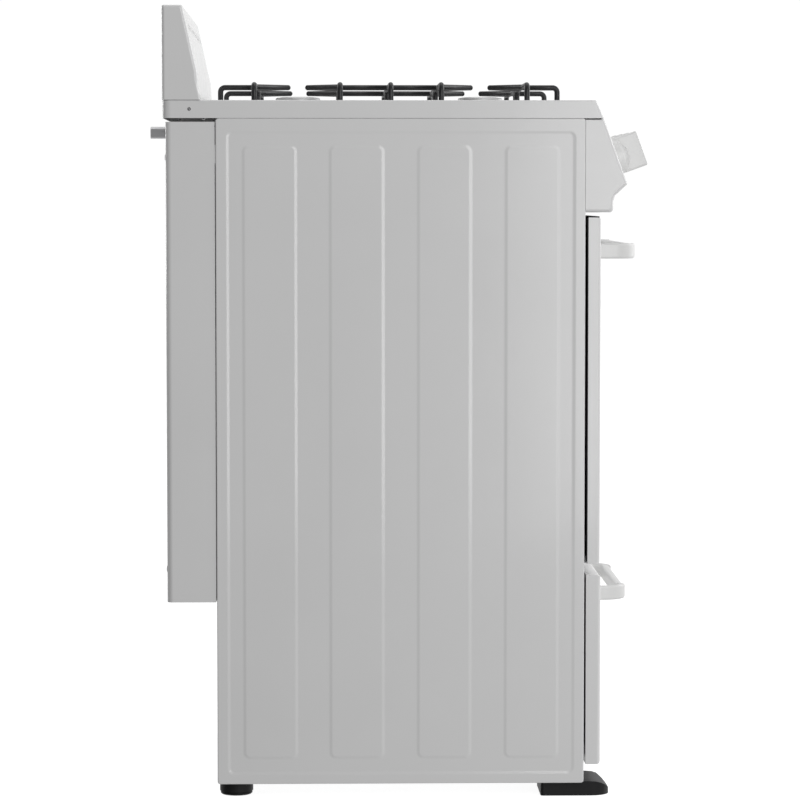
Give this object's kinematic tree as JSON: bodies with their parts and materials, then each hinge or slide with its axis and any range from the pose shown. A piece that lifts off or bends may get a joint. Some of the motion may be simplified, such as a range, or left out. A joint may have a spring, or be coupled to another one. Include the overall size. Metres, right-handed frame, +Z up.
{
  "type": "freestanding gas range",
  "caption": "Freestanding white gas range with open burners under black wire grates, a sloped knob panel, a drop-down oven door, a broiler drawer and a low backguard.",
  "frame": {"origin": "on the floor below the centre of the overall box, which runs from the knob faces to the tip of the gas inlet", "axes": "+X to the right seen from the front, -Y out of the front, +Z up"},
  "size_m": [0.508, 0.6568, 1.0366],
  "materials": {
    "white_enamel": "gloss enamel",
    "side_enamel": "satin paint",
    "zinc_sheet": "zinc coated sheet",
    "black_enamel": "gloss enamel",
    "grey_enamel": "speckled enamel",
    "white_plastic": "gloss",
    "black_plastic": "satin",
    "aluminium": "cast",
    "brass": "turned",
    "steel": "plain steel",
    "chrome_wire": "plated wire",
    "dark_glass": "tinted",
    "clear_glass": "clear",
    "woven_gasket": "braided",
    "glass_wool": "fibrous",
    "ceramic": "glazed"
  },
  "bodies": {
    "cabinet": {"side_panel_left": "side_enamel", "side_panel_right": "side_enamel", "base_frame": "steel", "front_frame": "grey_enamel", "rear_panel": "zinc_sheet", "rear_cover": "side_enamel", "burner_box_floor": "zinc_sheet", "cooktop": "white_enamel", "backguard": "white_enamel", "vent_baffle": "black_enamel", "control_panel": "white_enamel", "gas_manifold": "steel", "burner_valves": "brass", "oven_thermostat": "aluminium", "gas_supply_pipe": "steel", "gas_regulator": "aluminium", "gas_inlet": "steel", "burner_tubes": "aluminium", "burner_heads": "aluminium", "burner_caps": "aluminium", "igniters": "ceramic", "oven_liner": "grey_enamel", "oven_floor": "grey_enamel", "oven_insulation": "glass_wool", "oven_burner": "steel", "flame_spreader": "steel", "flue_duct": "zinc_sheet", "rack_guides": "chrome_wire", "hinge_brackets": "steel", "hinge_pins": "steel", "drawer_rails": "steel", "front_feet": "black_plastic", "rear_feet": "black_plastic", "screws": "steel"},
    "oven_door": {"door_outer_panel": "white_enamel", "door_outer_glass": "dark_glass", "door_inner_panel": "black_enamel", "door_inner_glass": "clear_glass", "door_gasket": "woven_gasket", "door_handle": "white_plastic", "door_hinge_arms": "steel"},
    "drawer": {"drawer_front": "white_enamel", "drawer_tray": "zinc_sheet", "drawer_handle": "white_plastic", "broiler_pan": "grey_enamel", "broiler_grid": "grey_enamel"},
    "upper_rack": {"rack_upper": "chrome_wire"},
    "lower_rack": {"rack_lower": "chrome_wire"},
    "left_grate": {"grate_left": "black_enamel"},
    "right_grate": {"grate_right": "black_enamel"},
    "valve_stem_1": {"stem_1": "steel"},
    "control_knob_1": {"knob_1": "white_plastic"},
    "valve_stem_2": {"stem_2": "steel"},
    "control_knob_2": {"knob_2": "white_plastic"},
    "valve_stem_3": {"stem_3": "steel"},
    "control_knob_3": {"knob_3": "white_plastic"},
    "valve_stem_4": {"stem_4": "steel"},
    "control_knob_4": {"knob_4": "white_plastic"},
    "valve_stem_5": {"stem_5": "steel"},
    "control_knob_5": {"knob_5": "white_plastic"}
  },
  "joints": [
    {"name": "oven_door_hinge", "type": "hinge", "parent": "cabinet", "child": "oven_door", "pos_m": [0, -0.248, 0.314], "axis": [1, 0, 0], "range_deg": [0, 90]},
    {"name": "drawer_slide", "type": "slide", "parent": "cabinet", "child": "drawer", "axis": [0, -1, 0], "range_m": [0, 0.3]},
    {"name": "upper_rack_slide", "type": "slide", "parent": "cabinet", "child": "upper_rack", "axis": [0, -1, 0], "range_m": [0, 0.03]},
    {"name": "lower_rack_slide", "type": "slide", "parent": "cabinet", "child": "lower_rack", "axis": [0, -1, 0], "range_m": [0, 0.03]},
    {"name": "left_grate_lift", "type": "slide", "parent": "cabinet", "child": "left_grate", "axis": [0, 0, 1], "range_m": [0, 0.08]},
    {"name": "right_grate_lift", "type": "slide", "parent": "cabinet", "child": "right_grate", "axis": [0, 0, 1], "range_m": [0, 0.08]},
    {"name": "stem_1_push", "type": "slide", "parent": "cabinet", "child": "valve_stem_1", "axis": [0, 0.9397, -0.342], "range_m": [0, 0.003], "stiffness_N_per_m": 600, "springref_m": -0.002},
    {"name": "knob_1_turn", "type": "hinge", "parent": "valve_stem_1", "child": "control_knob_1", "pos_m": [-0.19, -0.28379, 0.84001], "axis": [0, 0.9397, -0.342], "range_deg": [-270, 0]},
    {"name": "stem_2_push", "type": "slide", "parent": "cabinet", "child": "valve_stem_2", "axis": [0, 0.9397, -0.342], "range_m": [0, 0.003], "stiffness_N_per_m": 600, "springref_m": -0.002},
    {"name": "knob_2_turn", "type": "hinge", "parent": "valve_stem_2", "child": "control_knob_2", "pos_m": [-0.095, -0.28379, 0.84001], "axis": [0, 0.9397, -0.342], "range_deg": [-270, 0]},
    {"name": "stem_3_push", "type": "slide", "parent": "cabinet", "child": "valve_stem_3", "axis": [0, 0.9397, -0.342], "range_m": [0, 0.003], "stiffness_N_per_m": 600, "springref_m": -0.002},
    {"name": "knob_3_turn", "type": "hinge", "parent": "valve_stem_3", "child": "control_knob_3", "pos_m": [0, -0.28379, 0.84001], "axis": [0, 0.9397, -0.342], "range_deg": [-300, 0]},
    {"name": "stem_4_push", "type": "slide", "parent": "cabinet", "child": "valve_stem_4", "axis": [0, 0.9397, -0.342], "range_m": [0, 0.003], "stiffness_N_per_m": 600, "springref_m": -0.002},
    {"name": "knob_4_turn", "type": "hinge", "parent": "valve_stem_4", "child": "control_knob_4", "pos_m": [0.095, -0.28379, 0.84001], "axis": [0, 0.9397, -0.342], "range_deg": [-270, 0]},
    {"name": "stem_5_push", "type": "slide", "parent": "cabinet", "child": "valve_stem_5", "axis": [0, 0.9397, -0.342], "range_m": [0, 0.003], "stiffness_N_per_m": 600, "springref_m": -0.002},
    {"name": "knob_5_turn", "type": "hinge", "parent": "valve_stem_5", "child": "control_knob_5", "pos_m": [0.19, -0.28379, 0.84001], "axis": [0, 0.9397, -0.342], "range_deg": [-270, 0]}
  ]
}
